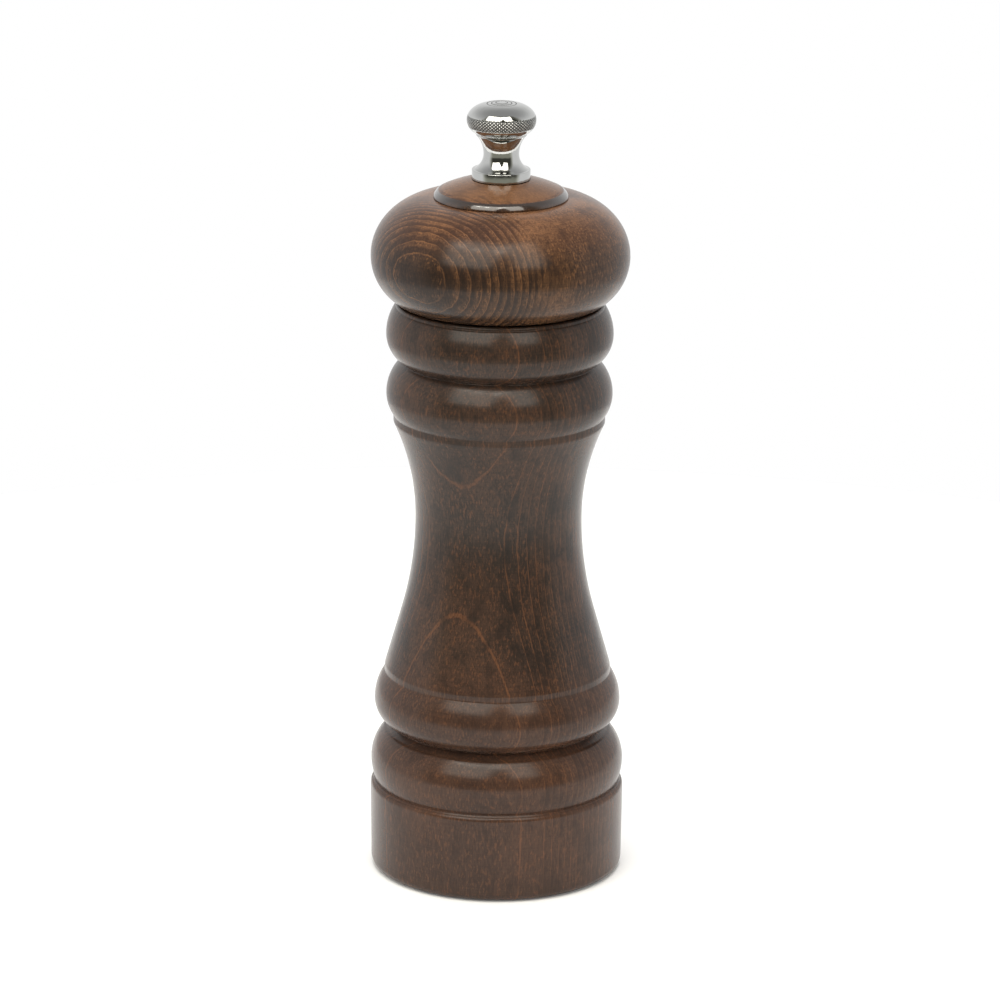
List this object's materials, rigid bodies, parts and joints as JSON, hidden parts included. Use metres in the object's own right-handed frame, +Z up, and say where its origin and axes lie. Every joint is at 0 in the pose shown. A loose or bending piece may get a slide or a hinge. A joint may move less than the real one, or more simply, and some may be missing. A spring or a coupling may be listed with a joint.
{
  "type": "pepper mill",
  "caption": "Turned wooden pepper mill with a twisting cap, a chromed knurled adjusting knob and a steel grinding mechanism on a square shaft.",
  "frame": {"origin": "centre of the base, on the surface that the mill stands on", "axes": "+Z up along the mill's axis towards the knob; -Y is the side seen from the front"},
  "size_m": [0.0538, 0.0538, 0.165],
  "materials": {
    "body_wood": "walnut stain under satin lacquer",
    "cap_wood": "walnut stain under satin lacquer, a little redder",
    "knob_chrome": "bright polished chrome plate",
    "steel": "zinc-bright steel",
    "hard_steel": "dark hardened steel",
    "spring_steel": "drawn spring wire",
    "brass": "turned brass",
    "nylon": "dark nylon"
  },
  "bodies": {
    "mill_body": {"body": "body_wood", "stator": "hard_steel", "bridge": "steel", "bridge_bush": "brass", "bottom_plate": "steel", "bottom_screw_1": "steel", "bottom_screw_2": "steel"},
    "thrust_set": {"spring": "spring_steel", "spring_washer": "brass"},
    "shaft_set": {"shaft": "steel", "rotor": "hard_steel", "rotor_washer": "steel", "rotor_nut": "steel", "shaft_clip": "spring_steel"},
    "cap_set": {"cap": "cap_wood", "turn_plate": "steel", "turn_plate_screw_1": "steel", "turn_plate_screw_2": "steel"},
    "washer": {"knob_washer": "nylon"},
    "knob": {"adjusting_knob": "knob_chrome"}
  },
  "joints": [
    {"name": "grind_turn", "type": "hinge", "parent": "mill_body", "child": "thrust_set", "pos_m": [0, 0, 0.0226], "axis": [0, 0, 1], "continuous": true},
    {"name": "grind_adjust", "type": "slide", "parent": "thrust_set", "child": "shaft_set", "axis": [0, 0, 1], "range_m": [-0.0012, 0.0004], "deforming": ["spring"]},
    {"name": "cap_lift", "type": "slide", "parent": "thrust_set", "child": "cap_set", "axis": [0, 0, 1], "range_m": [0, 0.06]},
    {"name": "knob_lift", "type": "slide", "parent": "cap_set", "child": "washer", "axis": [0, 0, 1], "range_m": [0, 0.02]},
    {"name": "knob_turn", "type": "hinge", "parent": "washer", "child": "knob", "pos_m": [0, 0, 0.1575], "axis": [0, 0, 1], "range_deg": [-180.1, 540.1]}
  ],
  "couplings": [
    {"joint": "knob_turn", "follows": "grind_adjust", "rad_per_m": -7854}
  ]
}
